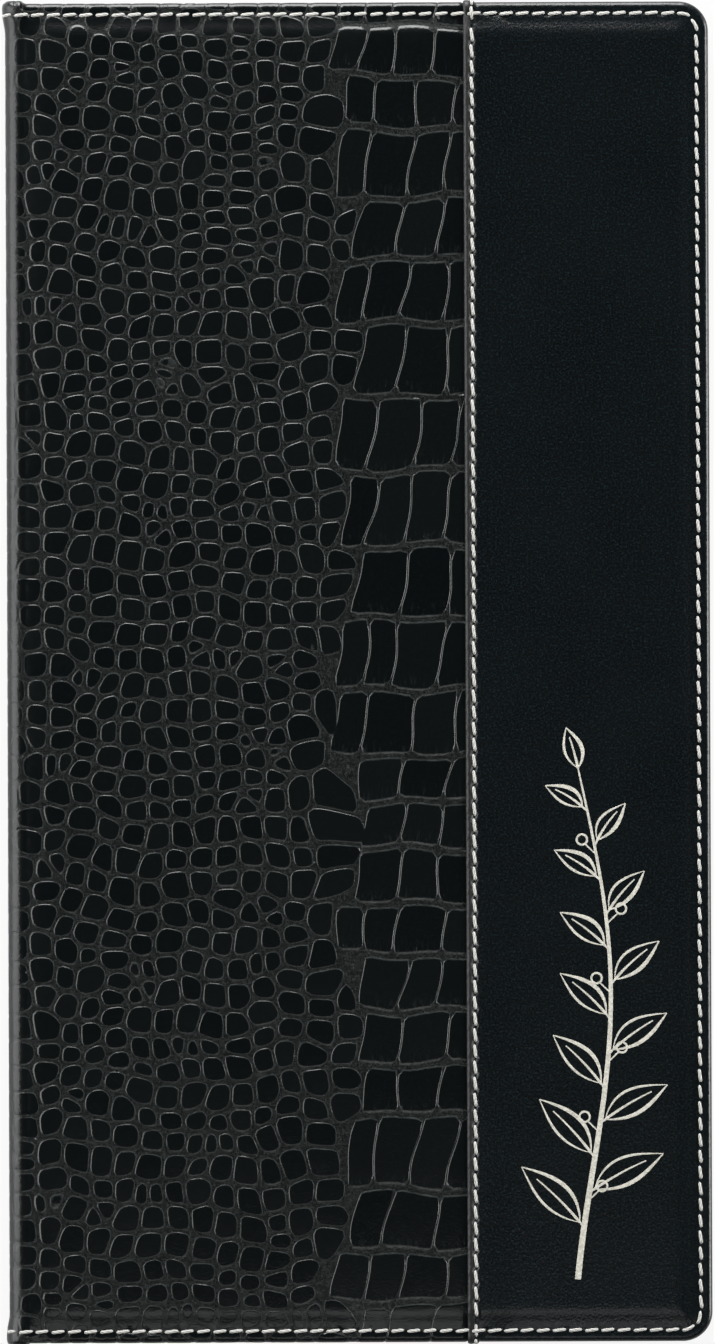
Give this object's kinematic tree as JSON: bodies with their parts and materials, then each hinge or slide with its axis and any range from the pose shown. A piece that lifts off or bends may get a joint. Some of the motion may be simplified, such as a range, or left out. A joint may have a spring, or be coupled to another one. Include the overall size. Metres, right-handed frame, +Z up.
{
  "type": "menu cover",
  "caption": "Slim padded menu cover in crocodile-grain and smooth black leatherette with contrast stitching, a soft spine that opens flat, and clear pockets holding menu cards.",
  "frame": {"origin": "on the table, under the middle of the closed cover's outline", "axes": "+X from the spine to the fore edge, +Y to the head, +Z up through the front cover"},
  "size_m": [0.1686, 0.321, 0.0111],
  "materials": {
    "croco_leatherette": "glossy black, embossed with a crocodile grain",
    "smooth_leatherette": "satin black, fine grain",
    "foam": "soft foam sheet",
    "board": "grey bookbinding board",
    "lining": "black woven lining",
    "clear_film": "clear soft film",
    "ribbon": "black ribbed ribbon",
    "thread": "off-white sewing thread",
    "menu_paper": "cream card, blank"
  },
  "bodies": {
    "back_cover": {"back_skin": "croco_leatherette", "back_padding": "foam", "back_board": "board", "back_lining": "lining", "back_pocket_film": "clear_film", "back_pocket_ribbon": "ribbon", "back_stitching": "thread", "back_inner_stitching": "thread", "back_pocket_stitching": "thread"},
    "spine": {"spine_skin": "croco_leatherette", "spine_lining": "lining", "spine_stitching": "thread"},
    "front_cover": {"front_croco_skin": "croco_leatherette", "front_smooth_panel": "smooth_leatherette", "front_padding": "foam", "front_board": "board", "front_lining": "lining", "front_pocket_film": "clear_film", "front_pocket_ribbon": "ribbon", "front_stitching": "thread", "front_inner_stitching": "thread", "front_pocket_stitching": "thread", "seam_stitching": "thread"},
    "back_card": {"back_menu_card": "menu_paper"},
    "front_card": {"front_menu_card": "menu_paper"}
  },
  "joints": [
    {"name": "back_bend", "type": "hinge", "parent": "back_cover", "child": "spine", "pos_m": [-0.08233, 0, 0.00202], "axis": [0, -1, 0], "range_deg": [0, 90]},
    {"name": "front_bend", "type": "hinge", "parent": "spine", "child": "front_cover", "pos_m": [-0.08233, 0, 0.00838], "axis": [0, -1, 0], "range_deg": [0, 90]},
    {"name": "back_card_slide", "type": "slide", "parent": "back_cover", "child": "back_card", "axis": [0, 1, 0], "range_m": [0, 0.291]},
    {"name": "front_card_slide", "type": "slide", "parent": "front_cover", "child": "front_card", "axis": [0, 1, 0], "range_m": [0, 0.291]}
  ],
  "couplings": [
    {"joint": "front_bend", "follows": "back_bend", "ratio": 1}
  ]
}
